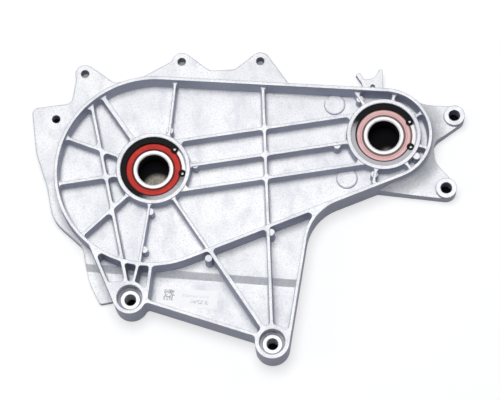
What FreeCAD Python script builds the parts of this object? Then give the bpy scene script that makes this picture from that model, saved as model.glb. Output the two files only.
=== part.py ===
import FreeCAD, Part
import math
import os

# Gearbox cover: a ribbed aluminium casting with two sealed ball bearings, each held by a snap ring.
# Frame: origin on the output bearing's axis at the flat back face, +X towards the input bearing's
# axis, +Z out of the ribbed side. Millimetres and degrees.

Vector = FreeCAD.Vector

SIZES = [
    # Chamber: the tall wall that runs round both bearings
    ("bearing_spacing", 184.0),
    ("chamber_large_radius", 78.2),
    ("chamber_small_radius", 37.8),
    ("chamber_large_drop", 2.8),
    ("chamber_small_drop", 1.1),
    ("rim_wall", 2.8),
    ("rim_top", 26.0),
    ("floor_top", 9.0),
    ("rib_top", 21.0),
    ("wall_draft", 2.0),
    ("cell_corner", 2.3),
    ("cell_fillet", 1.6),
    ("boss_cell_corner", 1.5),
    ("boss_cell_fillet", 1.2),
    # Ribs, each at its crest
    ("long_rib_width", 2.4),
    ("long_rib_upper", 19.6),
    ("long_rib_middle", -2.2),
    ("long_rib_lower", -21.4),
    ("cross_rib_width", 2.4),
    ("cross_rib_top_x", 96.4),
    ("spoke_width", 2.4),
    ("broad_spoke_width", 3.5),
    ("thin_rib_width", 2.0),
    ("tie_rib_x", -41.8),
    ("ejector_pad_radius", 2.9),
    ("ejector_pad_step", 0.5),
    ("boss_rib_width", 2.2),
    ("boss_rib_overrun", 2.86),
    ("disc_radius", 8.3),
    ("disc_height", 2.0),
    ("disc_round", 1.2),
    ("disc_reach", 33.8),
    ("disc_upper_y", 34.2),
    ("disc_lower_y", -28.2),
    # Bearing bosses and seats
    ("boss_wall", 3.2),
    ("seat_lip", 1.65),
    ("shoulder_height", 2.7),
    ("shoulder_width", 4.0),
    ("boss_chamfer", 0.6),
    ("ring_groove_depth", 1.5),
    ("ring_groove_width", 2.15),
    # Flange plate with its screw ears
    ("ear_radius", 8.0),
    ("ear_hole_radius", 3.3),
    ("ear_left_x", -72.0),
    ("ear_left_y", 56.9),
    ("ear_top_left_x", -44.4),
    ("ear_top_left_y", 91.7),
    ("ear_top_middle_x", 34.1),
    ("ear_top_middle_y", 90.0),
    ("ear_top_right_x", 96.9),
    ("ear_top_right_y", 80.6),
    ("flange_blend", 6.0),
    ("flange_edge_round", 1.2),
    ("back_land", 9.0),
    ("back_recess_depth", 5.0),
    ("back_corner", 4.0),
    # Lower bracket
    ("bracket_wall", 2.6),
    ("bracket_floor", 4.5),
    ("left_foot_x", -31.5),
    ("left_foot_y", -102.5),
    ("left_foot_radius", 13.0),
    ("right_foot_x", 72.3),
    ("right_foot_y", -153.7),
    ("right_foot_radius", 13.4),
    ("foot_hole_radius", 4.5),
    ("foot_counterbore_radius", 10.0),
    ("foot_counterbore_depth", 8.0),
    ("foot_spotface_radius", 7.8),
    ("foot_spotface_depth", 0.8),
    ("left_wall_lean", 15.0),
    ("left_wall_length", 59.82),
    ("right_wall_lean", 17.6),
    ("throat_radius", 38.0),
    ("foot_blend", 3.0),
    ("bracket_draft", 1.0),
    ("bracket_rib_width", 2.6),
    ("bracket_spoke_width", 3.0),
    ("bracket_thin_rib_width", 2.2),
    ("bracket_web_width", 5.0),
    ("step_run", 5.0),
    ("step_angle", -13.2),
    ("step_offset", -80.8),
    # Two arms on the small end
    ("arm_thickness", 9.0),
    ("arm_boss_radius", 8.3),
    ("arm_boss_top", 12.0),
    ("arm_hole_radius", 4.5),
    ("upper_arm_reach", 58.6),
    ("upper_arm_y", 9.9),
    ("lower_arm_reach", 42.0),
    ("lower_arm_y", -48.6),
    ("arm_flare", 14.0),
    ("arm_notch_radius", 12.0),
    ("arm_notch_depth", 0.4),
    ("arm_notch_upper", 20.4),
    ("arm_notch_lower", 22.4),
    # Forked lug above the small end
    ("fork_thickness", 5.0),
    ("fork_hole_radius", 1.8),
    ("fork_offset", -1.3),
    ("fork_rise", 8.3),
    # Ball bearings, 25 x 52 x 15
    ("shaft_radius", 12.5),
    ("bearing_radius", 26.0),
    ("bearing_width", 15.0),
    ("ball_radius", 3.97),
    ("ball_clearance", 0.05),
    ("inner_race_depth", 1.42),
    ("outer_race_depth", 1.32),
    ("ring_chamfer", 0.8),
    ("seal_thickness", 1.2),
    ("seal_recess", 0.3),
    ("seal_lip_overlap", 0.8),
    ("seal_rim_seat", 0.7),
    ("seal_gap", 0.15),
    ("seal_groove_offset", 0.65),
    ("seal_groove_width", 1.6),
    ("seal_groove_depth", 0.25),
    ("cage_width", 2.5),
    ("cage_sheet", 0.7),
    ("cage_clearance", 0.12),
    ("rivet_radius", 0.6),
    ("rivet_head_radius", 1.0),
    ("rivet_head_height", 0.4),
    # Snap rings
    ("snap_thickness", 2.0),
    ("snap_width", 5.7),
    ("snap_groove_gap", 0.1),
    ("snap_gap_angle", 54.0),
    ("snap_lug_radius", 3.0),
    ("snap_lug_inset", 4.2),
    ("snap_lug_hole", 1.25),
    ("output_snap_turn", 9.0),
    ("input_snap_turn", -7.3),
    # Label
    ("label_length", 48.0),
    ("label_width", 14.4),
    ("label_thickness", 0.15),
    ("label_x", 11.8),
    ("label_y", -104.4),
    ("label_turn", -12.9),
]

BALLS = 9

doc = FreeCAD.newDocument("gearbox_cover")
sheet = doc.addObject("Spreadsheet::Sheet", "sizes")
for row, (alias, value) in enumerate(SIZES, start=1):
    sheet.set(f"A{row}", alias)
    sheet.set(f"B{row}", str(value))
    sheet.setAlias(f"B{row}", alias)
doc.recompute()


def size(alias):
    return float(sheet.get(alias))


# Document objects bound to the sheet

def bind(obj, expressions):
    for prop, text in expressions.items():
        obj.setExpression(prop, text)
    return obj


def place(obj, x="0", y="0", z="0"):
    where = {"Placement.Base.x": x, "Placement.Base.y": y, "Placement.Base.z": z}
    return bind(obj, where)


def cylinder(name, radius, height, x="0", y="0", z="0"):
    obj = doc.addObject("Part::Cylinder", name)
    return place(bind(obj, {"Radius": radius, "Height": height}), x, y, z)


def torus(name, radius, tube, x="0", y="0", z="0"):
    obj = doc.addObject("Part::Torus", name)
    return place(bind(obj, {"Radius1": radius, "Radius2": tube}), x, y, z)


def cone(name, low_radius, high_radius, height, x="0", y="0", z="0"):
    obj = doc.addObject("Part::Cone", name)
    return place(bind(obj, {"Radius1": low_radius, "Radius2": high_radius, "Height": height}), x, y, z)


def cut(name, base, tool):
    obj = doc.addObject("Part::Cut", name)
    obj.Base = base
    obj.Tool = tool
    return obj


def common(name, pieces):
    obj = doc.addObject("Part::MultiCommon", name)
    obj.Shapes = pieces
    return obj


def fuse(name, pieces):
    obj = doc.addObject("Part::MultiFuse", name)
    obj.Shapes = pieces
    return obj


def group(name, pieces):
    obj = doc.addObject("Part::Compound", name)
    obj.Links = pieces
    return obj


def feature(name, shape):
    obj = doc.addObject("Part::Feature", name)
    obj.Shape = shape
    return obj


def raised(name, face, height, z="0", draft="0"):
    """A plan face standing up to a height, opening outwards by the draft angle."""
    plan = feature(name + "_plan", face)
    place(plan, z=z)
    obj = doc.addObject("Part::Extrusion", name)
    obj.Base = plan
    obj.DirMode = "Custom"
    obj.Dir = Vector(0, 0, 1)
    obj.Solid = True
    return bind(obj, {"LengthFwd": height, "TaperAngle": draft})


def rounded_at(name, base, radius, level):
    """Rounds every edge of a solid that lies flat at the level."""
    doc.recompute()
    obj = doc.addObject("Part::Fillet", name)
    obj.Base = base
    obj.Edges = [(n, radius, radius) for n, edge in enumerate(base.Shape.Edges, start=1)
                 if lies_at(edge, level)]
    return obj


def lies_at(edge, level):
    box = edge.BoundBox
    return abs(box.ZMin - level) < 1e-6 and abs(box.ZMax - level) < 1e-6


# Plan geometry

def point(x, y):
    return Vector(x, y, 0)


def polar(centre, radius, degrees):
    angle = math.radians(degrees)
    return centre + Vector(radius * math.cos(angle), radius * math.sin(angle), 0)


def disc(centre, radius):
    return Part.Face(Part.Wire(Part.makeCircle(radius, centre)))


def ring(centre, outer, inner):
    return disc(centre, outer).cut(disc(centre, inner))


def polygon(points):
    return Part.Face(Part.makePolygon(points + [points[0]]))


def strip(start, end, width):
    """A rib's plan: a rectangle of the width along the line from start to end."""
    along = (end - start).normalize()
    side = Vector(-along.y, along.x, 0) * (width / 2)
    return polygon([start + side, end + side, end - side, start - side])


def belt(large, large_radius, small, small_radius):
    """The plan of a belt round two pulleys: two arcs and their outer tangents."""
    across = small - large
    base = math.degrees(math.atan2(across.y, across.x))
    lean = math.degrees(math.acos((large_radius - small_radius) / across.Length))
    corners = [polar(large, large_radius, base + lean), polar(small, small_radius, base + lean),
               polar(small, small_radius, base - lean), polar(large, large_radius, base - lean)]
    edges = [
        Part.LineSegment(corners[0], corners[1]),
        Part.Arc(corners[1], polar(small, small_radius, base), corners[2]),
        Part.LineSegment(corners[2], corners[3]),
        Part.Arc(corners[3], polar(large, large_radius, base + 180), corners[0]),
    ]
    return Part.Face(Part.Wire([edge.toShape() for edge in edges]))


def rounded_outline(corners):
    """A closed outline through (x, y, radius) corners, each rounded by a tangent arc."""
    edges = []
    arcs = []
    for n, (x, y, radius) in enumerate(corners):
        here = point(x, y)
        before = (point(*corners[n - 1][:2]) - here).normalize()
        after = (point(*corners[(n + 1) % len(corners)][:2]) - here).normalize()
        if radius == 0:
            arcs.append((here, None, here))
            continue
        half = before.getAngle(after) / 2
        reach = radius / math.tan(half)
        middle = here + (before + after).normalize() * (radius / math.sin(half) - radius)
        arcs.append((here + before * reach, middle, here + after * reach))
    for n, (first, middle, last) in enumerate(arcs):
        if middle is not None:
            edges.append(Part.Arc(first, middle, last).toShape())
        edges.append(Part.LineSegment(last, arcs[(n + 1) % len(arcs)][0]).toShape())
    return Part.Face(Part.Wire(edges))


def upward(face):
    return face if face.normalAt(0, 0).z > 0 else face.reversed()


def joined(plans):
    """Plans as one face, with no seams left between them."""
    faces = [upward(face) for plan in plans for face in plan.Faces]
    return faces[0].multiFuse(faces[1:]).removeSplitter().Faces[0]


def blended(face, radius):
    """Fills a plan's inner corners to the radius."""
    grown = face.makeOffset2D(radius, 0, False, False, False)
    return grown.makeOffset2D(-radius, 0, False, False, False).Faces[0]


def cells(region, ribs, corner_sizes):
    """What the ribs leave of a region: each cell's plan, its corners rounded, and its floor's round.

    A cell too narrow for a mould core stays solid, and a narrow cell's corners fit its width.
    """
    for rib in ribs:
        region = region.cut(rib)
    found = []
    for face in region.Faces:
        corner, floor_round = corner_sizes(face)
        room = face.Area / face.OuterWire.Length
        if room < floor_round / 2:
            continue
        fit = min(1, room / corner)
        shrunk = face.makeOffset2D(-corner * fit, 0, False, False, False)
        for core in shrunk.Faces:
            plan = core.makeOffset2D(corner * fit, 0, False, False, False).Faces[0]
            found.append((plan, floor_round * fit))
    return found


def meeting(first, first_way, second, second_way):
    """Where two plan lines, each a point and a direction, meet."""
    cross = first_way.x * second_way.y - first_way.y * second_way.x
    gap = second - first
    return first + first_way * ((gap.x * second_way.y - gap.y * second_way.x) / cross)


# Where things stand in plan

OUTPUT = point(0, 0)
INPUT = point(size("bearing_spacing"), 0)
CHAMBER_LARGE = point(0, -size("chamber_large_drop"))
CHAMBER_SMALL = point(size("bearing_spacing"), -size("chamber_small_drop"))
LEFT_FOOT = point(size("left_foot_x"), size("left_foot_y"))
RIGHT_FOOT = point(size("right_foot_x"), size("right_foot_y"))
UPPER_ARM = INPUT + point(size("upper_arm_reach"), size("upper_arm_y"))
LOWER_ARM = INPUT + point(size("lower_arm_reach"), size("lower_arm_y"))
LARGE = size("chamber_large_radius")
SMALL = size("chamber_small_radius")
RIM = size("rim_wall")
BOSS = size("bearing_radius") + size("boss_wall")
SPREAD = math.tan(math.radians(size("wall_draft"))) * (size("rib_top") - size("floor_top"))


def chamber(inset):
    """The chamber's plan, drawn in from the rim's outer face by the inset."""
    return belt(CHAMBER_LARGE, LARGE - inset, CHAMBER_SMALL, SMALL - inset)


# Lower bracket's outline: two leaning walls tangent to the feet, and a wall between the feet

def bracket_outline():
    left_lean = math.radians(size("left_wall_lean"))
    left_way = Vector(-math.sin(left_lean), math.cos(left_lean), 0)
    left_touch = polar(LEFT_FOOT, size("left_foot_radius"), 180 + size("left_wall_lean"))
    right_lean = math.radians(size("right_wall_lean"))
    right_way = Vector(math.sin(right_lean), math.cos(right_lean), 0)
    right_touch = polar(RIGHT_FOOT, size("right_foot_radius"), -size("right_wall_lean"))
    across = CHAMBER_SMALL - CHAMBER_LARGE
    rise = math.atan2(across.y, across.x) + math.asin((LARGE - SMALL) / across.Length)
    tangent_way = Vector(math.cos(rise), math.sin(rise), 0)
    tangent = CHAMBER_SMALL + Vector(math.sin(rise), -math.cos(rise), 0) * SMALL
    throat = meeting(right_touch, right_way, tangent, tangent_way)
    left_end = left_touch + left_way * size("left_wall_length")
    corners = [
        (left_end.x, left_end.y, 0),
        (left_touch.x, left_touch.y, 0),
        (LEFT_FOOT.x, LEFT_FOOT.y, 0),
        (RIGHT_FOOT.x, RIGHT_FOOT.y, 0),
        (right_touch.x, right_touch.y, 0),
        (throat.x, throat.y, size("throat_radius")),
        (tangent.x, tangent.y, 0),
        (CHAMBER_SMALL.x, CHAMBER_SMALL.y, 0),
        (CHAMBER_LARGE.x, CHAMBER_LARGE.y, 0),
    ]
    return rounded_outline(corners)


bracket = bracket_outline()
tall_plan = joined([chamber(0), bracket, disc(LEFT_FOOT, size("left_foot_radius")),
                    disc(RIGHT_FOOT, size("right_foot_radius"))])
tall_plan = blended(tall_plan, size("foot_blend"))
tall_block = raised("tall_block", tall_plan, "sizes.rim_top")

# Flange plate: a side plate with the lower-left tail, a strip above the chamber, and three ears

SIDE_PLATE = [
    (-40.0, 68.3, 0), (-90.4, 69.3, 5), (-91.3, 31.0, 40), (-86.0, 2.0, 40), (-84.6, -26.6, 28),
    (-63.9, -51.8, 12), (-62.6, -80.0, 60), (-56.2, -99.0, 2.5), (-36.0, -98.4, 0), (0.0, 0.0, 0),
]
TOP_STRIP = [(-60.0, 60.0), (-24.0, 80.6), (-4.0, 81.2), (20.0, 84.0), (48.0, 81.5), (60.0, 78.6),
             (78.0, 77.0), (112.0, 62.0), (112.0, 30.0), (0.0, 20.0)]
# An ear's web is given from its hole: the left foot and shoulder, the right shoulder and foot.
EARS = [
    ("top_left", [(-17.0, -33.0), (-6.2, 2.0), (5.7, 5.7), (34.0, -22.6)]),
    ("top_middle", [(-46.0, -12.6), (-7.0, 2.2), (5.8, 5.6), (30.0, -19.8)]),
    ("top_right", [(-40.0, -14.8), (-4.2, 6.9), (7.1, 3.6), (24.0, -30.8)]),
]


def ear_hole(name):
    return point(size(f"ear_{name}_x"), size(f"ear_{name}_y"))


flange_faces = [rounded_outline(SIDE_PLATE), polygon([point(x, y) for x, y in TOP_STRIP])]
for name, web in EARS:
    hole = ear_hole(name)
    flange_faces.append(polygon([hole + point(x, y) for x, y in web]))
    flange_faces.append(disc(hole, size("ear_radius")))
flange_plan = blended(joined(flange_faces + [chamber(0)]), size("flange_blend"))
flange = rounded_at("flange", raised("flange_plate", flange_plan, "sizes.floor_top"),
                    size("flange_edge_round"), size("floor_top"))

# Arms: a plate that carries two bosses, with a notch between them and a flare up to the chamber

def touch(outside, centre, radius, side):
    """The point where a line from outside touches a circle, on its left (+1) or right (-1)."""
    away = outside - centre
    lean = math.degrees(math.acos(radius / away.Length))
    return polar(centre, radius, math.degrees(math.atan2(away.y, away.x)) - side * lean)


def arms_outline():
    radius = size("arm_boss_radius")
    notch_x = CHAMBER_SMALL.x + SMALL - size("arm_notch_depth")
    waist = CHAMBER_SMALL + point(SMALL - 2.3, SMALL - 13.5)
    shoulder = CHAMBER_SMALL + point(SMALL - 18.8, SMALL - 6.8)
    notch_top = point(notch_x, UPPER_ARM.y - size("arm_notch_upper"))
    notch_low = point(notch_x, LOWER_ARM.y + size("arm_notch_lower"))
    tail = CHAMBER_SMALL + point(-20.0, -SMALL - 1.2)
    over = touch(waist, UPPER_ARM, radius, 1)
    under = touch(notch_top, UPPER_ARM, radius, -1)
    above = touch(notch_low, LOWER_ARM, radius, 1)
    below = touch(tail, LOWER_ARM, radius, -1)
    corners = [
        (CHAMBER_SMALL.x, CHAMBER_SMALL.y, 0),
        (shoulder.x, shoulder.y, 0),
        (waist.x, waist.y, size("arm_flare")),
        (over.x, over.y, 0),
        (UPPER_ARM.x, UPPER_ARM.y, 0),
        (under.x, under.y, 0),
        (notch_top.x, notch_top.y, size("arm_notch_radius")),
        (notch_low.x, notch_low.y, size("arm_notch_radius")),
        (above.x, above.y, 0),
        (LOWER_ARM.x, LOWER_ARM.y, 0),
        (below.x, below.y, 0),
        (tail.x, tail.y, 0),
    ]
    return rounded_outline(corners)


arm_web = arms_outline()
arms_plan = joined([arm_web, disc(UPPER_ARM, size("arm_boss_radius")),
                    disc(LOWER_ARM, size("arm_boss_radius"))])
arms_plate = raised("arms_plate", arms_plan, "sizes.arm_thickness")


def flare_section():
    """Half section of the flare: a hollow curve from the chamber wall down to the arms' plate."""
    inside = SMALL - RIM
    low = size("arm_thickness")
    reach = size("arm_flare")
    foot = Vector(SMALL + reach, 0, low)
    crest = Vector(SMALL, 0, low + reach)
    lean = math.radians(45)
    middle = Vector(SMALL + reach * (1 - math.cos(lean)), 0, low + reach * (1 - math.sin(lean)))
    base = Vector(inside, 0, low)
    top = Vector(inside, 0, low + reach)
    edges = [Part.Arc(crest, middle, foot), Part.LineSegment(foot, base),
             Part.LineSegment(base, top), Part.LineSegment(top, crest)]
    return Part.Face(Part.Wire([edge.toShape() for edge in edges]))


flare_turn = doc.addObject("Part::Revolution", "flare_turn")
flare_turn.Source = feature("flare_section", flare_section())
flare_turn.Axis = Vector(0, 0, 1)
flare_turn.Angle = 360
flare_turn.Solid = True
place(flare_turn, "sizes.bearing_spacing", "-sizes.chamber_small_drop")
flare = common("flare", [flare_turn, raised("flare_limit", arm_web, "sizes.rim_top")])

# Forked lug, drawn round its small hole

FORK_HOLE = CHAMBER_SMALL + point(size("fork_offset"), SMALL + size("fork_rise"))
FORK = [(-8.0, -8.0, 0), (-8.2, 4.5, 6), (-12.0, 12.2, 0.6), (-8.2, 13.0, 0.8), (-5.8, 7.0, 2.5),
        (2.8, 6.6, 7), (7.3, 13.4, 0.6), (10.0, 13.2, 0.5), (7.4, -8.0, 0)]
fork_plan = rounded_outline([(x + FORK_HOLE.x, y + FORK_HOLE.y, corner) for x, y, corner in FORK])
fork = raised("fork", fork_plan, "sizes.fork_thickness", z="sizes.floor_top - sizes.fork_thickness")

# Ribs: each a line with the width of its crest. They spread by the draft down to the floor.

RIB_START = CHAMBER_LARGE.y + LARGE * 0.85
TIE_TOP = point(size("tie_rib_x"), RIB_START)
CROSS_TOP = point(size("cross_rib_top_x"), RIB_START)
THIN_RIB_END = point(17.1, 29.3)
LEFT_SPOKE_END = LEFT_FOOT + point(10.6, 27.0)
BOSS_RIBS = [113.0, 66.5, 22.0, -27.4, -62.7, -111.0]


def along_line(y):
    return point(OUTPUT.x, y), point(INPUT.x, y)


def chamber_ribs():
    reach = LARGE * 1.1
    spoke = size("spoke_width")
    cross = size("cross_rib_width")
    thin = size("thin_rib_width")
    long_width = size("long_rib_width")
    lines = [(*along_line(size(f"long_rib_{level}")), long_width)
             for level in ("upper", "middle", "lower")]
    lines += [
        (CROSS_TOP, RIGHT_FOOT, cross),
        (TIE_TOP, LEFT_FOOT, cross),
        (OUTPUT, polar(OUTPUT, reach, 116.0), size("broad_spoke_width")),
        (OUTPUT, polar(OUTPUT, reach, 151.0), spoke),
        (point(0, -1.2), point(-reach, -1.2), spoke),
        (point(0, -3.0), polar(point(0, -3.0), reach, 214.6), spoke),
        (point(2.2, 0), LEFT_SPOKE_END, thin),
        (OUTPUT, RIGHT_FOOT, spoke),
        (THIN_RIB_END - point(1.6, 6.2), THIN_RIB_END + point(12.9, 51.9), thin),
    ]
    boss_rib = size("boss_rib_width")
    reach = SMALL + size("boss_rib_overrun")
    lines += [(INPUT, polar(INPUT, reach, degrees), boss_rib) for degrees in BOSS_RIBS]
    return [strip(start, end, width + 2 * SPREAD) for start, end, width in lines]


EJECTOR_PADS = [(17.1, 29.3), (33.2, -2.2), (146.1, -3.4), (-6.8, -34.8), (-15.4, -64.8)]
INPUT_PINS = [(113.5, 5.8), (-44.0, 2.0), (-112.0, 4.8)]
BRACKET_PADS = [(LEFT_FOOT, (64.7, 21.7)), (RIGHT_FOOT, (11.9, 86.3))]

boss_base = BOSS + SPREAD
chamber_floor = chamber(RIM + SPREAD)
obstacles = [disc(OUTPUT, boss_base), disc(INPUT, boss_base)] + chamber_ribs()


def corner_sizes(face):
    """The small cells round the input boss have smaller corners than the rest."""
    if face.CenterOfMass.distanceToPoint(INPUT) < LARGE / 2:
        return size("boss_cell_corner"), size("boss_cell_fillet")
    return size("cell_corner"), size("cell_fillet")


chamber_pockets = []
for n, (plan, floor_round) in enumerate(cells(chamber_floor, obstacles, corner_sizes), start=1):
    cell = raised(f"chamber_cell_{n}", plan, "sizes.rib_top - sizes.floor_top", z="sizes.floor_top",
                  draft="sizes.wall_draft")
    chamber_pockets.append(rounded_at(f"chamber_pocket_{n}", cell, floor_round, size("floor_top")))
chamber_mouth = raised("chamber_mouth", chamber(RIM), "sizes.rim_top - sizes.rib_top",
                       z="sizes.rib_top", draft="sizes.wall_draft")

# Bracket: its pockets, and the bank where the floor steps up from the bracket to the chamber

STEP_TURN = math.radians(size("step_angle"))
STEP_ALONG = Vector(math.cos(STEP_TURN), math.sin(STEP_TURN), 0)
STEP_DOWN = Vector(math.sin(STEP_TURN), -math.cos(STEP_TURN), 0)
STEP_START = point(0, size("step_offset"))
BRACKET_SPREAD = math.tan(math.radians(size("bracket_draft"))) * (size("rim_top") - size("bracket_floor"))


def step_solid(section):
    """A bar along the step, from its (distance past the step, height) section."""
    half = LARGE * 2
    corners = [STEP_START - STEP_ALONG * half + STEP_DOWN * distance + Vector(0, 0, height)
               for distance, height in section]
    return Part.Face(Part.makePolygon(corners + [corners[0]])).extrude(STEP_ALONG * half * 2)


high, low, run = size("floor_top"), size("bracket_floor"), size("step_run")
bank = feature("bank", step_solid([(-LARGE, 0), (-LARGE, high), (0, high), (run, low), (run, 0)]))
clearing = feature("clearing", step_solid([(0, high), (run, low), (LARGE, low), (LARGE, LARGE),
                                           (0, LARGE)]))
flange = cut("flange_stepped", flange, clearing)


def bracket_ribs():
    width = size("bracket_rib_width")
    foot = size("left_foot_radius")
    lines = [
        (CROSS_TOP, RIGHT_FOOT, width),
        (OUTPUT, RIGHT_FOOT, size("bracket_spoke_width")),
        (TIE_TOP, LEFT_FOOT, width),
        (LEFT_SPOKE_END, LEFT_FOOT, size("bracket_thin_rib_width")),
        (LEFT_FOOT + point(20.9, 27.5), LEFT_FOOT + point(11.6, -7.0), width),
        (LEFT_FOOT + point(-17.5, foot - 0.8), LEFT_FOOT + point(-1.0, foot - 2.0),
         size("bracket_web_width")),
    ]
    return [strip(start, end, crest + 2 * BRACKET_SPREAD) for start, end, crest in lines]


bracket_room = bracket.makeOffset2D(-size("bracket_wall") - BRACKET_SPREAD, 0, False, False, False)
bracket_room = bracket_room.cut(chamber(-BRACKET_SPREAD))
feet = [disc(LEFT_FOOT, size("left_foot_radius") + BRACKET_SPREAD),
        disc(RIGHT_FOOT, size("right_foot_radius") + BRACKET_SPREAD)]


def bracket_corner_sizes(face):
    """The two narrow cells beside the left foot have smaller corners than the rest."""
    if face.Area < 200:
        return size("boss_cell_corner"), size("boss_cell_fillet")
    return size("cell_corner"), size("cell_fillet")


bracket_cells = cells(bracket_room, feet + bracket_ribs(), bracket_corner_sizes)
bracket_pockets = []
for n, (plan, floor_round) in enumerate(bracket_cells, start=1):
    cell = raised(f"bracket_cell_{n}", plan, "sizes.rim_top - sizes.bracket_floor",
                  z="sizes.bracket_floor", draft="sizes.bracket_draft")
    rounded = rounded_at(f"bracket_rounded_{n}", cell, floor_round, size("bracket_floor"))
    bracket_pockets.append(cut(f"bracket_pocket_{n}", rounded, bank))

# What stands on the floor: boss tops, raised discs and ejector pads

BEARINGS = [("output", "0"), ("input", "sizes.bearing_spacing")]
BOSS_TOP = "(sizes.shoulder_height + sizes.bearing_width + sizes.ring_groove_width + sizes.seat_lip)"
standing = [cylinder(f"{name}_boss_top", "sizes.bearing_radius + sizes.boss_wall",
                     f"{BOSS_TOP} - sizes.floor_top", x, z="sizes.floor_top") for name, x in BEARINGS]
for level in ("upper", "lower"):
    pad = cylinder(f"{level}_disc_blank", "sizes.disc_radius", "sizes.disc_height",
                   "sizes.bearing_spacing - sizes.disc_reach", f"sizes.disc_{level}_y", "sizes.floor_top")
    standing.append(rounded_at(f"{level}_disc", pad, size("disc_round"),
                               size("floor_top") + size("disc_height")))
pad_height = "sizes.rib_top - sizes.ejector_pad_step - sizes.floor_top"
pin_places = [polar(INPUT, BOSS + out, degrees) for degrees, out in INPUT_PINS]
pin_places += [point(x, y) for x, y in EJECTOR_PADS]
for n, where in enumerate(pin_places, start=1):
    standing.append(cylinder(f"ejector_pad_{n}", "sizes.ejector_pad_radius", pad_height,
                             str(where.x), str(where.y), "sizes.floor_top"))
for n, (foot, (x, y)) in enumerate(BRACKET_PADS, start=1):
    where = foot + point(x, y)
    standing.append(cylinder(f"bracket_pad_{n}", "sizes.ejector_pad_radius",
                             "sizes.rim_top - sizes.ejector_pad_step - sizes.bracket_floor",
                             str(where.x), str(where.y), "sizes.bracket_floor"))
ARMS = [(name, f"sizes.bearing_spacing + sizes.{name}_arm_reach", f"sizes.{name}_arm_y")
        for name in ("upper", "lower")]
arm_bosses = [cylinder(f"{name}_arm_boss", "sizes.arm_boss_radius", "sizes.arm_boss_top", x, y)
              for name, x, y in ARMS]

# Holes, bearing seats and the shallow recess in the back

holes = []
for name in ("left", "top_left", "top_middle", "top_right"):
    holes.append(cylinder(f"ear_hole_{name}", "sizes.ear_hole_radius", "sizes.floor_top + 2",
                          f"sizes.ear_{name}_x", f"sizes.ear_{name}_y", "-1"))
for name, x, y in ARMS:
    holes.append(cylinder(f"arm_hole_{name}", "sizes.arm_hole_radius", "sizes.arm_boss_top + 2",
                          x, y, "-1"))
holes.append(cylinder("fork_hole", "sizes.fork_hole_radius", "sizes.floor_top + 2", str(FORK_HOLE.x),
                      str(FORK_HOLE.y), "-1"))
for name in ("left", "right"):
    x, y = f"sizes.{name}_foot_x", f"sizes.{name}_foot_y"
    depth = "sizes.foot_counterbore_depth"
    holes.append(fuse(f"foot_bore_{name}", [
        cylinder(f"foot_hole_{name}", "sizes.foot_hole_radius", "sizes.rim_top + 2", x, y, "-1"),
        cylinder(f"foot_counterbore_{name}", "sizes.foot_counterbore_radius", depth + " + 1", x, y,
                 f"sizes.rim_top - {depth}"),
        cylinder(f"foot_spotface_{name}", "sizes.foot_spotface_radius", depth, x, y,
                 f"sizes.rim_top - {depth} - sizes.foot_spotface_depth"),
    ]))
seat_tools = []
for name, x in BEARINGS:
    top = "sizes.shoulder_height + sizes.bearing_width"
    seat_tools.append(fuse(f"{name}_seat", [
        cylinder(f"{name}_through", "sizes.bearing_radius - sizes.shoulder_width", BOSS_TOP, x, z="-1"),
        cylinder(f"{name}_seat_bore", "sizes.bearing_radius", BOSS_TOP, x, z="sizes.shoulder_height"),
        cylinder(f"{name}_groove", "sizes.bearing_radius + sizes.ring_groove_depth",
                 "sizes.ring_groove_width", x, z=top),
        cone(f"{name}_mouth", "sizes.bearing_radius - sizes.boss_chamfer",
             "sizes.bearing_radius + sizes.boss_chamfer", "sizes.boss_chamfer * 2", x,
             z=f"{BOSS_TOP} - sizes.boss_chamfer"),
    ]))
land = size("back_land")
recess_plan = cells(chamber(land), [disc(INPUT, BOSS)], lambda face: (size("back_corner"), 0))
recess_plan = recess_plan[0][0].cut(disc(OUTPUT, BOSS))
recesses = [raised("back_recess", recess_plan.Faces[0], "sizes.back_recess_depth")]

solid_parts = fuse("casting_blank", [tall_block, flange, arms_plate, flare, fork] + arm_bosses)
casting = cut("casting_open", solid_parts, chamber_mouth)
casting = cut("casting_ribbed", casting, group("pockets", chamber_pockets + bracket_pockets))
casting = fuse("casting_full", [casting] + standing)
casting = cut("cover_casting", casting, group("openings", holes + seat_tools + recesses))
doc.recompute()


# Ball bearings

def tube(name, outer, inner, height, x, z):
    shell = cylinder(name + "_outside", outer, height, x, z=z)
    core = cylinder(name + "_inside", inner, height + " + 2", x, z=z + " - 1")
    return cut(name, shell, core)


def chamfered(name, base, radius, width):
    """Chamfers the circular edges of a radius at both ends of a bearing ring."""
    doc.recompute()
    ends = (size("shoulder_height"), size("shoulder_height") + size("bearing_width"))
    obj = doc.addObject("Part::Chamfer", name)
    obj.Base = base
    obj.Edges = [(n, width, width) for n, edge in enumerate(base.Shape.Edges, start=1)
                 if any(lies_at(edge, end) for end in ends) and abs(edge.Curve.Radius - radius) < 1e-6]
    return obj


LOW = "sizes.shoulder_height"
HIGH = "(sizes.shoulder_height + sizes.bearing_width)"
MIDDLE = "(sizes.shoulder_height + sizes.bearing_width / 2)"
SEAL_DEPTH = "(sizes.seal_recess + sizes.seal_thickness)"
PITCH = "((sizes.bearing_radius + sizes.shaft_radius) / 2)"
INNER_LAND = f"({PITCH} - sizes.ball_radius + sizes.inner_race_depth)"
OUTER_LAND = f"({PITCH} + sizes.ball_radius - sizes.outer_race_depth)"
SEAL_LIP = f"({INNER_LAND} - sizes.seal_lip_overlap)"
SEAL_RIM = f"({OUTER_LAND} + sizes.seal_rim_seat)"
GROOVE = f"({PITCH} - sizes.seal_groove_offset)"
pieces = {"cover_casting": casting}


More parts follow.
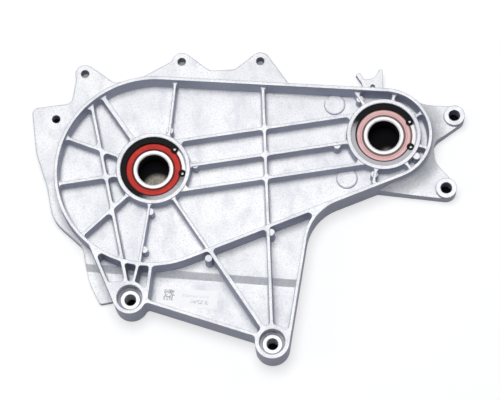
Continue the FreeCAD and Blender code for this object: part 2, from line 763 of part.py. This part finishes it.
def bearing(name, x):
    race = torus(f"{name}_race", PITCH, "sizes.ball_radius + sizes.ball_clearance", x, z=MIDDLE)
    width = "sizes.bearing_width"
    blank = tube(f"{name}_outer_blank", "sizes.bearing_radius", OUTER_LAND, width, x, LOW)
    grooves = [race]
    for end, z in (("rear", LOW), ("front", f"{HIGH} - {SEAL_DEPTH}")):
        grooves.append(cylinder(f"{name}_{end}_seal_room", SEAL_RIM, SEAL_DEPTH, x, z=z))
    outer = cut(f"{name}_outer_turned", blank, group(f"{name}_outer_grooves", grooves))
    pieces[f"{name}_outer_ring"] = chamfered(f"{name}_outer_ring", outer, size("bearing_radius"),
                                             size("ring_chamfer"))
    blank = tube(f"{name}_inner_blank", INNER_LAND, "sizes.shaft_radius", width, x, LOW)
    steps = [torus(f"{name}_inner_race", PITCH, "sizes.ball_radius + sizes.ball_clearance", x, z=MIDDLE)]
    for end, z in (("rear", LOW), ("front", f"{HIGH} - {SEAL_DEPTH} - sizes.seal_gap")):
        steps.append(tube(f"{name}_{end}_seal_step", f"{INNER_LAND} + 1",
                          f"{SEAL_LIP} - sizes.seal_gap", f"{SEAL_DEPTH} + sizes.seal_gap", x, z))
    inner = cut(f"{name}_inner_turned", blank, group(f"{name}_inner_steps", steps))
    pieces[f"{name}_inner_ring"] = chamfered(f"{name}_inner_ring", inner, size("shaft_radius"),
                                             size("ring_chamfer"))
    for end, z, groove_z in (
            ("front", f"{HIGH} - {SEAL_DEPTH}", f"{HIGH} - sizes.seal_recess - sizes.seal_groove_depth"),
            ("rear", f"{LOW} + sizes.seal_recess", f"{LOW} + sizes.seal_recess")):
        body = tube(f"{name}_{end}_seal_body", SEAL_RIM, SEAL_LIP, "sizes.seal_thickness", x, z)
        groove = tube(f"{name}_{end}_seal_groove", f"{GROOVE} + sizes.seal_groove_width / 2",
                      f"{GROOVE} - sizes.seal_groove_width / 2", "sizes.seal_groove_depth", x, groove_z)
        pieces[f"{name}_{end}_seal"] = cut(f"{name}_{end}_seal", body, groove)


def ball_place(x, turn):
    return {"Placement.Base.x": f"{x} + {PITCH} * cos({turn} deg)",
            "Placement.Base.y": f"{PITCH} * sin({turn} deg)",
            "Placement.Base.z": MIDDLE}


def spheres(name, radius, x):
    made = []
    for n in range(BALLS):
        ball = doc.addObject("Part::Sphere", f"{name}_{n + 1}")
        bind(ball, {"Radius": radius})
        made.append(bind(ball, ball_place(x, n * 360 / BALLS)))
    return made


def cage(name, x):
    """Two pressed half cages, domed over each ball, and the rivets that join them between the balls."""
    pieces[f"{name}_balls"] = group(f"{name}_balls", spheres(f"{name}_ball", "sizes.ball_radius", x))
    domes = group(f"{name}_domes", spheres(f"{name}_dome",
                                           "sizes.ball_radius + sizes.cage_clearance + sizes.cage_sheet", x))
    outside = f"{PITCH} + sizes.cage_width / 2"
    inside = f"{PITCH} - sizes.cage_width / 2"
    band = tube(f"{name}_cage_band", outside, inside, "sizes.ball_radius * 2", x, MIDDLE)
    flat = tube(f"{name}_cage_flat", outside, inside, "sizes.cage_sheet", x, MIDDLE)
    pressed = fuse(f"{name}_cage_sheet", [common(f"{name}_cage_domes", [domes, band]), flat])
    bores = spheres(f"{name}_pocket", "sizes.ball_radius + sizes.cage_clearance", x)
    shanks = []
    rivets = []
    for n in range(BALLS):
        turn = (n + 0.5) * 360 / BALLS
        shank = cylinder(f"{name}_shank_{n + 1}", "sizes.rivet_radius", "sizes.cage_sheet * 2")
        head = cylinder(f"{name}_head_{n + 1}", "sizes.rivet_head_radius", "sizes.rivet_head_height")
        tail = cylinder(f"{name}_tail_{n + 1}", "sizes.rivet_head_radius", "sizes.rivet_head_height")
        for piece, z in ((shank, f"{MIDDLE} - sizes.cage_sheet"), (head, f"{MIDDLE} + sizes.cage_sheet"),
                         (tail, f"{MIDDLE} - sizes.cage_sheet - sizes.rivet_head_height")):
            bind(piece, {**ball_place(x, turn), "Placement.Base.z": z})
        shanks.append(shank)
        rivets.append(fuse(f"{name}_rivet_{n + 1}", [shank, head, tail]))
    pieces[f"{name}_cage_rivets"] = group(f"{name}_cage_rivets", rivets)
    front = cut(f"{name}_cage_front", pressed, group(f"{name}_cage_holes", bores + shanks))
    pieces[f"{name}_cage_front"] = front
    rear = doc.addObject("Part::Mirroring", f"{name}_cage_rear")
    rear.Source = front
    rear.Normal = Vector(0, 0, 1)
    rear.Base = Vector(0, 0, size("shoulder_height") + size("bearing_width") / 2)
    pieces[f"{name}_cage_rear"] = rear


def snap_ring(name, x, centre, turn):
    """A spring ring in the seat's groove, open between two lugs that each have a plier hole."""
    outer = size("bearing_radius") + size("ring_groove_depth") - size("snap_groove_gap")
    half = size("snap_gap_angle") / 2
    far = outer * 3
    gap = polygon([centre, polar(centre, far, turn - half), polar(centre, far, turn + half)])
    plan = ring(centre, outer, outer - size("snap_width")).cut(gap)
    lugs = [polar(centre, outer - size("snap_lug_inset"), turn + side * half) for side in (-1, 1)]
    plan = joined([plan] + [disc(lug, size("snap_lug_radius")) for lug in lugs])
    for lug in lugs:
        plan = plan.cut(disc(lug, size("snap_lug_hole")))
    pieces[f"{name}_snap_ring"] = raised(f"{name}_snap_ring", plan.Faces[0], "sizes.snap_thickness", z=HIGH)


for name, x in BEARINGS:
    bearing(name, x)
    cage(name, x)
    snap_ring(name, x, OUTPUT if name == "output" else INPUT, size(f"{name}_snap_turn"))

# Label on the bracket's floor

label_centre = point(size("label_x"), size("label_y"))
label_half = polar(point(0, 0), size("label_length") / 2, size("label_turn"))
label_plan = strip(label_centre - label_half, label_centre + label_half, size("label_width"))
pieces["label"] = raised("label", label_plan, "sizes.label_thickness", z="sizes.bracket_floor")

doc.recompute()
for obj in doc.Objects:
    if "Invalid" in obj.State or "Error" in obj.State:
        raise SystemExit(f"{obj.Name} did not build: {obj.State}")
os.makedirs("parts", exist_ok=True)
for name, obj in pieces.items():
    obj.Label = name
    if obj.Shape.isNull() or not obj.Shape.isValid():
        raise SystemExit(f"{name} has no valid shape")
for name, obj in pieces.items():
    obj.Shape.exportStep(f"parts/{name}.step")
    print(name, len(obj.Shape.Solids), round(obj.Shape.Volume))
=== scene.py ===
import math

import bpy
from mathutils import Matrix, Vector

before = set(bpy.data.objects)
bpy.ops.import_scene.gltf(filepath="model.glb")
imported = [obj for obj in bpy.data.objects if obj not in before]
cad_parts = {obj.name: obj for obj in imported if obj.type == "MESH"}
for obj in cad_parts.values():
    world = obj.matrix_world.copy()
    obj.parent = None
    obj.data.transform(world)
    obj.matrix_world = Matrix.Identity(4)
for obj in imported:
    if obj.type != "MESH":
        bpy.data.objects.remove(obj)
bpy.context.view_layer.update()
MM = 0.001

# Where the parts are, in millimetres, as in the part's source
OUTPUT = (0.0, 0.0)
INPUT = (184.0, 0.0)
FEET = [(-31.5, -102.5), (72.3, -153.7)]
ARMS = [(242.6, 9.9), (226.0, -48.6)]
LEFT_EAR = (-72.0, 56.9)
TOP_EARS = [(-44.4, 91.7), (34.1, 90.0), (96.9, 80.6)]
RIM_TOP = 26.0
ARM_TOP = 12.0
FOOT_COUNTERBORE = 10.0
ARM_BOSS = 8.3
LABEL_CENTRE = (11.8, -104.4)
LABEL_TURN = -12.9

# Bearings and snap rings, as radii in millimetres and turns in degrees
SHAFT = 12.5
BEARING = 26.0
SEAL_INSIDE = 16.9
SEAL_OUTSIDE = 21.7
LUG_RADIUS = 23.2
LUG_SPREAD = 27.0


class Value:
    """A socket in a finish's node tree. Arithmetic on it adds Math nodes."""

    def __init__(self, finish, socket):
        self.finish = finish
        self.socket = socket

    def math(self, operation, *others):
        inputs = dict(enumerate((self, *others)))
        return self.finish.node("ShaderNodeMath", inputs, operation=operation)

    def __add__(self, other):
        return self.math("ADD", other)

    __radd__ = __add__

    def __sub__(self, other):
        return self.math("SUBTRACT", other)

    def __rsub__(self, other):
        return self.finish.node("ShaderNodeMath", {0: other, 1: self}, operation="SUBTRACT")

    def __mul__(self, other):
        return self.math("MULTIPLY", other)

    __rmul__ = __mul__

    def __truediv__(self, other):
        return self.math("DIVIDE", other)

    def __pow__(self, other):
        return self.math("POWER", other)

    def __abs__(self):
        return self.math("ABSOLUTE")

    def either(self, other):
        """The larger of two masks."""
        return self.math("MAXIMUM", other)

    def clamp(self):
        return self.math("MINIMUM", 1.0).math("MAXIMUM", 0.0)

    def rise(self, low, high):
        """0 below low, 1 above high, smooth between them. With low above high it falls."""
        if low > high:
            return 1.0 - self.rise(high, low)
        return self.finish.node("ShaderNodeMapRange", {"Value": self, "From Min": low, "From Max": high},
                                interpolation_type="SMOOTHSTEP")

    def within(self, low, high, soft):
        """1 between two values, with soft ends."""
        return self.rise(low - soft, low + soft) * self.rise(high + soft, high - soft)


class Finish:
    """A material built round one Principled shader, with the part's x, y and z in millimetres."""

    def __init__(self, name, metallic, roughness):
        self.material = bpy.data.materials.new(name)
        self.material.use_nodes = True
        self.tree = self.material.node_tree
        self.shader = self.tree.nodes["Principled BSDF"]
        self.shader.inputs["Metallic"].default_value = metallic
        self.shader.inputs["Roughness"].default_value = roughness
        self.position = self.node("ShaderNodeTexCoord", output="Object")
        self.x, self.y, self.z = (self.node("ShaderNodeSeparateXYZ", {0: self.position}, output=axis)
                                  / MM for axis in "XYZ")
        facing = self.node("ShaderNodeTexCoord", output="Normal")
        self.steep = abs(self.node("ShaderNodeSeparateXYZ", {0: facing}, output="Z")).rise(0.55, 0.15)

    def node(self, kind, inputs=None, output=0, **settings):
        made = self.tree.nodes.new(kind)
        for name, value in settings.items():
            setattr(made, name, value)
        for key, value in (inputs or {}).items():
            if isinstance(value, Value):
                self.tree.links.new(value.socket, made.inputs[key])
            else:
                made.inputs[key].default_value = value
        return Value(self, made.outputs[output])

    def noise(self, size_mm, detail=2.0, roughness=0.5, stretch=(1.0, 1.0, 1.0)):
        """Noise whose blotches are about size_mm across, from 0 to 1."""
        scaled = self.node("ShaderNodeVectorMath", {0: self.position, 1: stretch}, operation="MULTIPLY")
        return self.node("ShaderNodeTexNoise", {"Vector": scaled, "Scale": 1.0 / (size_mm * MM),
                                                "Detail": detail, "Roughness": roughness})

    def mix(self, factor, first, second):
        """A colour between two colours, or links to them."""
        def colour(value):
            return value if isinstance(value, Value) else (*value, 1.0)
        return self.node("ShaderNodeMix", {0: factor, 6: colour(first), 7: colour(second)}, output=2,
                         data_type="RGBA")

    def distance(self, centre):
        """Distance in the plan from a point, in millimetres."""
        across = self.x - centre[0]
        along = self.y - centre[1]
        return (across * across + along * along) ** 0.5

    def near_any(self, centres, radius, soft):
        """1 within a radius of any of the centres."""
        near = None
        for centre in centres:
            disc = self.distance(centre).rise(radius + soft, radius - soft)
            near = disc if near is None else near.either(disc)
        return near

    def set(self, socket, value):
        self.tree.links.new(value.socket, self.shader.inputs[socket])

    def dull(self, specular):
        self.shader.inputs["Specular IOR Level"].default_value = specular

    def soft_edges(self, round_mm):
        return self.node("ShaderNodeBevel", {"Radius": round_mm * MM}, samples=8)

    def edge_lines(self, soft):
        """1 along the edges and corners that the softened normal rounds off, 0 on flats."""
        flat = self.node("ShaderNodeNewGeometry", output="Normal")
        agreement = self.node("ShaderNodeVectorMath", {0: soft, 1: flat}, output="Value",
                              operation="DOT_PRODUCT")
        return agreement.rise(0.99, 0.85)

    def relief(self, height_mm, soft):
        """Bumps the surface by a height in millimetres, over its softened edges."""
        self.set("Normal", self.node("ShaderNodeBump", {"Height": height_mm * MM, "Distance": 1.0,
                                                        "Strength": 1.0, "Normal": soft}))


# The casting

def machined_faces(f):
    """1 on what is cut after casting: bearing seats, foot counterbores, arm faces and the back."""
    seats = f.near_any([OUTPUT, INPUT], BEARING + 0.4, 0.1)
    feet = f.near_any(FEET, FOOT_COUNTERBORE + 0.1, 0.1) * f.z.rise(RIM_TOP - 0.1, RIM_TOP - 0.2)
    arms = f.near_any(ARMS, ARM_BOSS + 0.1, 0.1) * f.z.rise(ARM_TOP - 0.2, ARM_TOP - 0.1)
    back = f.z.rise(0.05, 0.02)
    return seats.either(feet).either(arms).either(back)


def turning_marks(f):
    """A wave of fine rings round each turned place."""
    places = [(OUTPUT, 30), (INPUT, 30), *((foot, 11) for foot in FEET), *((arm, 9) for arm in ARMS)]
    marks = None
    for centre, reach in places:
        away = f.distance(centre)
        rings = (away * 9.0).math("SINE") * away.rise(reach + 0.2, reach)
        marks = rings if marks is None else marks + rings
    return marks


def painted_counterbore_shade(f, flow):
    """A dark ring in the counterbore of each foot, near its wall: painted shade, mottled by noise."""
    band = None
    for foot in FEET:
        ring = f.distance(foot).within(7.4, 9.8, 0.5)
        band = ring if band is None else band + ring
    return band * (flow.rise(0.30, 0.55) * 0.4 + 0.5)


def cast_aluminium():
    """Die-cast aluminium: a fine dull skin, with turned rings where it was machined."""
    f = Finish("cast_aluminium", 0.26, 0.5)
    soft = f.soft_edges(0.8)
    machined = machined_faces(f)
    skin = f.noise(0.9, 3.0, 0.6)
    speckle = f.noise(1.8, 4.0, 0.65)
    broad = f.noise(28.0, 3.0, 0.55)
    flow = f.noise(11.0, 4.0, 0.6, (1.0, 0.6, 1.0))

    shade = f.mix(broad.rise(0.35, 0.65), (0.82, 0.82, 0.83), (0.92, 0.915, 0.905))
    shade = f.mix(flow.rise(0.48, 0.72) * 0.55, shade, (0.66, 0.675, 0.72))
    shade = f.mix(speckle.rise(0.48, 0.68) * 0.45, shade, (0.56, 0.58, 0.63))
    shade = f.mix(skin.rise(0.46, 0.68) * 0.42, shade, (0.54, 0.56, 0.60))
    # Painted shade: steep walls are darkened towards slate, mottled by the speckle.
    shade = f.mix(f.steep * (0.62 + speckle * 0.4), shade, (0.33, 0.36, 0.47))
    turned = f.mix(f.noise(5.0, 2.0).rise(0.3, 0.7), (0.70, 0.71, 0.72), (0.84, 0.84, 0.85))
    # Painted shade: a dark ring in each foot's counterbore.
    turned = f.mix(painted_counterbore_shade(f, flow), turned, (0.14, 0.15, 0.19))
    shade = f.mix(machined, shade, turned)
    # Painted shade: dark lines along the rounded edges and corners.
    f.set("Base Color", f.mix(f.edge_lines(soft) * 0.9, shade, (0.22, 0.25, 0.32)))

    f.set("Roughness", (skin * 0.12 + flow * 0.12 + 0.46) * (1.0 - machined) + machined * 0.46)
    grain = (skin * 0.06 + speckle * 0.06 + f.noise(6.0, 2.0) * 0.10) * (1.0 - machined)
    f.relief(grain + turning_marks(f) * machined * 0.012, soft)
    return f.material


# The bearings and snap rings

def bearing_steel(centre, name):
    """Ground steel, with painted shade: a near-black bore and dark lines along its chamfers."""
    f = Finish(name, 0.3, 0.5)
    soft = f.soft_edges(0.5)
    away = f.distance(centre)
    lines = f.noise(0.35, 2.0, 0.5)
    shade = f.mix(lines * 0.5, (0.80, 0.79, 0.78), (0.90, 0.89, 0.88))
    # Painted shade: dark lines along the chamfers.
    shade = f.mix(f.edge_lines(soft) * 0.85, shade, (0.16, 0.13, 0.13))
    # Painted shade: the steel of the bore is painted near black.
    bore = f.steep * away.rise(SHAFT + 1.1, SHAFT + 0.5)
    f.set("Base Color", f.mix(bore, shade, (0.016, 0.015, 0.016)))
    f.set("Roughness", lines * 0.12 + 0.48)
    f.relief((away * 14.0).math("SINE") * 0.0025, soft)
    return f.material


def seal_rubber(centre, name, body, pale):
    """Moulded seal: smooth rubber with a raised lip at each edge, painted dark shade along both edges,
    and a fine grain.
    """
    f = Finish(name, 0.0, 0.5)
    f.dull(0.18)
    away = f.distance(centre)
    grain = f.noise(0.5, 3.0, 0.6)
    wear = f.noise(7.0, 3.0, 0.6)
    shade = f.mix(wear.rise(0.45, 0.75) * 0.6, body, pale)
    # Painted shade along the inner and outer edges, with a faint dark ring between them.
    edge = away.rise(SEAL_INSIDE + 0.8, SEAL_INSIDE + 0.2)
    edge = edge.either(away.rise(SEAL_OUTSIDE - 1.0, SEAL_OUTSIDE - 0.3))
    edge = edge.either(away.within(18.2, 18.9, 0.2) * 0.35)
    dark = tuple(channel * 0.16 for channel in body)
    f.set("Base Color", f.mix(edge * 0.9, shade, dark))
    f.set("Roughness", grain * 0.15 + 0.42)
    outer_lip = away.within(SEAL_OUTSIDE - 1.0, SEAL_OUTSIDE - 0.2, 0.25) * 0.12
    inner_lip = away.within(SEAL_INSIDE - 0.5, SEAL_INSIDE + 0.1, 0.2) * 0.10
    f.relief(outer_lip + inner_lip + grain * 0.012, f.soft_edges(0.15))
    return f.material


def black_spring_steel(centre, name, gap_turn, bright_way, bright_start):
    """Blackened steel, with a painted highlight on one side of the ring, leaving it black at its lugs
    and edges.
    """
    f = Finish(name, 0.0, 0.5)
    f.dull(0.08)
    wear = f.noise(1.6, 3.0, 0.6)
    way = math.radians(bright_way)
    toward = (f.x - centre[0]) * math.cos(way) + (f.y - centre[1]) * math.sin(way)
    # Painted highlight: the side of the ring that faces bright_way is lightened.
    painted_highlight = (toward / LUG_RADIUS + (wear - 0.5) * 0.3).rise(bright_start, bright_start + 0.5)
    painted_highlight = painted_highlight * f.distance(centre).within(22.5, 27.0, 0.3)
    for side in (-1, 1):
        turn = math.radians(gap_turn + side * LUG_SPREAD)
        lug = (centre[0] + LUG_RADIUS * math.cos(turn), centre[1] + LUG_RADIUS * math.sin(turn))
        painted_highlight = painted_highlight * f.distance(lug).rise(2.8, 3.4)
    shade = f.mix(wear.rise(0.6, 0.85) * 0.5, (0.006, 0.006, 0.007), (0.03, 0.03, 0.032))
    f.set("Base Color", f.mix(painted_highlight * 0.85, shade, (0.62, 0.60, 0.62)))
    f.set("Roughness", wear * 0.2 + 0.42)
    f.relief(wear * 0.01, f.soft_edges(0.2))
    return f.material


def ball_steel():
    f = Finish("ball_steel", 1.0, 0.06)
    tint = f.noise(2.0)
    f.set("Base Color", f.mix(tint * 0.4, (0.86, 0.86, 0.87), (0.78, 0.78, 0.80)))
    return f.material


def cage_steel():
    f = Finish("cage_steel", 0.9, 0.34)
    grain = f.noise(0.6, 3.0)
    f.set("Base Color", f.mix(grain, (0.52, 0.52, 0.52), (0.68, 0.68, 0.67)))
    f.relief(grain * 0.01, f.soft_edges(0.1))
    return f.material


# The label

def label_film():
    """A pale film with a square of dots and two blurred bars, none of them readable."""
    f = Finish("label_film", 0.0, 0.5)
    turn = math.radians(LABEL_TURN)
    away_x = f.x - LABEL_CENTRE[0]
    away_y = f.y - LABEL_CENTRE[1]
    along = away_x * math.cos(turn) + away_y * math.sin(turn)
    across = away_y * math.cos(turn) - away_x * math.sin(turn)
    dots_per_mm = 1.6
    cell = f.node("ShaderNodeCombineXYZ", {0: (along * dots_per_mm).math("FLOOR"),
                                           1: (across * dots_per_mm).math("FLOOR")})
    dots = f.node("ShaderNodeTexWhiteNoise", {"Vector": cell}).rise(0.52, 0.54)
    square = along.within(-18.5, -10.0, 0.02) * across.within(-2.6, 5.9, 0.02)
    smudge = f.noise(0.9, 3.0, 0.7, (0.5, 1.0, 1.0)).rise(0.48, 0.56)
    lower_bar = along.within(3.0, 17.0, 0.3) * across.within(-4.2, -0.8, 0.3)
    upper_bar = along.within(-4.0, 17.0, 0.3) * across.within(1.0, 3.0, 0.3) * 0.6
    ink = (dots * square * 0.75).either(smudge * lower_bar.either(upper_bar) * 0.45)
    worn_end = along.within(22.4, 23.4, 0.3) * smudge * 0.5
    film = f.mix(worn_end, (0.97, 0.97, 0.96), (0.72, 0.64, 0.50))
    f.set("Base Color", f.mix(ink, film, (0.12, 0.12, 0.14)))
    f.set("Roughness", f.noise(1.2) * 0.1 + 0.42)
    return f.material


# What each piece is made of

FINISHES = {
    "cover_casting": cast_aluminium(),
    "label": label_film(),
}
for name, centre in (("output", OUTPUT), ("input", INPUT)):
    steel = bearing_steel(centre, f"{name}_bearing_steel")
    FINISHES[f"{name}_outer_ring"] = steel
    FINISHES[f"{name}_inner_ring"] = steel
balls = ball_steel()
cage = cage_steel()
output_ring = black_spring_steel(OUTPUT, "output_ring_steel", 9.0, -68.0, 0.55)
input_ring = black_spring_steel(INPUT, "input_ring_steel", -7.3, -100.0, -0.55)
red = seal_rubber(OUTPUT, "red_seal", (0.62, 0.024, 0.014), (0.72, 0.07, 0.045))
rose = seal_rubber(INPUT, "pale_red_seal", (0.86, 0.52, 0.50), (0.92, 0.68, 0.66))
for name, seal, snap_ring in (("output", red, output_ring), ("input", rose, input_ring)):
    FINISHES[f"{name}_balls"] = balls
    for piece in ("cage_front", "cage_rear", "cage_rivets"):
        FINISHES[f"{name}_{piece}"] = cage
    FINISHES[f"{name}_snap_ring"] = snap_ring
    FINISHES[f"{name}_front_seal"] = seal
    FINISHES[f"{name}_rear_seal"] = seal
for node, material in FINISHES.items():
    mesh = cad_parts[node].data
    mesh.materials.clear()
    mesh.materials.append(material)


# Camera, at the photograph's angle

PHOTO_TURN = math.radians(8.23)
TILT = math.radians(17.0)
PAN = math.radians(1.91)
CAMERA_TARGET = Vector((0.0718, -0.0373, 0.020))
DISTANCE = 1.6
PIXEL = 0.7836 * MM
PHOTO_WIDTH = 500
SENSOR_WIDTH = 36.0


def to_part(vector):
    """Turns a vector from the photograph's upright axes to the part's."""
    return Matrix.Rotation(-PHOTO_TURN, 3, "Z") @ vector


def photo_camera():
    toward = Vector((math.tan(PAN), -math.tan(TILT), 1.0)).normalized()
    right = Vector((0.0, 1.0, 0.0)).cross(toward).normalized()
    up = toward.cross(right)
    axes = [to_part(axis) for axis in (right, up, toward)]
    lens = bpy.data.cameras.new("photo_camera")
    lens.sensor_width = SENSOR_WIDTH
    lens.lens = SENSOR_WIDTH * (DISTANCE / PIXEL) / PHOTO_WIDTH
    lens.clip_start = 0.1
    lens.clip_end = 20.0
    camera = bpy.data.objects.new("photo_camera", lens)
    turned = Matrix(axes).transposed().to_4x4()
    camera.matrix_world = Matrix.Translation(CAMERA_TARGET + axes[2] * DISTANCE) @ turned
    bpy.context.scene.collection.objects.link(camera)
    bpy.context.scene.camera = camera


photo_camera()


# Floor and light

FLOOR_HALF = 4.0
FLOOR_GAP = 0.4 * MM
FLOOR_GLOW = 1.14
FLOOR_GLOW_SHARE = 0.55


def painted_hole_shadows(f):
    """1 under the part's through holes, where a shadow is painted on the floor."""
    holes = f.near_any(FEET, 11.0, 1.0)
    for centres, radius in (([OUTPUT, INPUT], 24.0), (ARMS, 7.0), ([LEFT_EAR], 5.5)):
        holes = holes.either(f.near_any(centres, radius, 1.0))
    return holes.either(f.near_any(TOP_EARS, 5.5, 1.0) * 0.75)


def under_hole_colour(f):
    """Painted shadow, near black, with a painted grey-brown pool of light at the low side of each
    bearing's bore.
    """
    # Painted light: grey-brown pools on the floor below each bearing's bore.
    output_glint = f.near_any([(0.5, -9.5)], 10.0, 3.0)
    input_glint = f.near_any([(186.0, -10.5)], 5.0, 3.0) * 0.6
    glint = f.mix(f.noise(2.2, 4.0, 0.7).rise(0.3, 0.7), (0.22, 0.20, 0.17), (0.50, 0.47, 0.41))
    return f.mix(output_glint.either(input_glint), (0.004, 0.004, 0.005), glint)


def floor_finish():
    """White where it is seen or mirrored, and dark to the light that the part gets from below."""
    f = Finish("pale_floor", 0.0, 0.9)
    f.dull(0.1)
    # Painted shadow: the floor under the through holes is darkened and loses its glow.
    holes = painted_hole_shadows(f)
    seen = f.node("ShaderNodeLightPath", output="Is Camera Ray")
    seen = seen + f.node("ShaderNodeLightPath", output="Is Glossy Ray")
    seen = (seen + f.node("ShaderNodeLightPath", output="Is Transmission Ray")).clamp()
    plain = f.mix(seen, (0.20, 0.20, 0.21), (0.96, 0.96, 0.96))
    f.set("Base Color", f.mix(holes, plain, under_hole_colour(f)))
    glow = f.node("ShaderNodeEmission", {"Color": (1.0, 1.0, 1.0, 1.0), "Strength": FLOOR_GLOW})
    factor = seen * FLOOR_GLOW_SHARE * (1.0 - holes)
    shown = f.node("ShaderNodeMixShader", {0: factor, 1: Value(f, f.shader.outputs[0]), 2: glow})
    f.tree.links.new(shown.socket, f.tree.nodes["Material Output"].inputs["Surface"])
    return f.material


def plain_floor():
    mesh = bpy.data.meshes.new("floor")
    corners = [(x, y, 0) for x, y in ((-FLOOR_HALF, -FLOOR_HALF), (FLOOR_HALF, -FLOOR_HALF),
                                      (FLOOR_HALF, FLOOR_HALF), (-FLOOR_HALF, FLOOR_HALF))]
    mesh.from_pydata(corners, [], [(0, 1, 2, 3)])
    mesh.materials.append(floor_finish())
    floor = bpy.data.objects.new("floor", mesh)
    floor.location.z = -FLOOR_GAP
    bpy.context.scene.collection.objects.link(floor)


plain_floor()


def soft_lamp(name, place, aim, width, power):
    """A square lamp, placed and aimed in the photograph's axes, in metres and watts."""
    lamp = bpy.data.lights.new(name, "AREA")
    lamp.shape = "SQUARE"
    lamp.size = width
    lamp.energy = power
    holder = bpy.data.objects.new(name, lamp)
    holder.location = to_part(Vector(place))
    aim_way = to_part(Vector(aim)) - holder.location
    holder.rotation_euler = aim_way.to_track_quat("-Z", "Y").to_euler()
    bpy.context.scene.collection.objects.link(holder)


PART_MIDDLE = (0.07, -0.03, 0.0)
soft_lamp("top_lamp", (-0.03, 0.20, 1.8), PART_MIDDLE, 0.9, 25.0)
soft_lamp("side_lamp", (1.2, 0.7, 1.0), PART_MIDDLE, 0.7, 1.6)
soft_lamp("left_lamp", (-1.3, -0.3, 0.9), (0.0, -0.03, 0.0), 0.8, 2.5)

world = bpy.data.worlds.new("studio")
bpy.context.scene.world = world
world.use_nodes = True
background = world.node_tree.nodes["Background"]
background.inputs["Color"].default_value = (0.74, 0.80, 1.0, 1.0)
background.inputs["Strength"].default_value = 0.16

bpy.context.scene.view_settings.view_transform = "Standard"
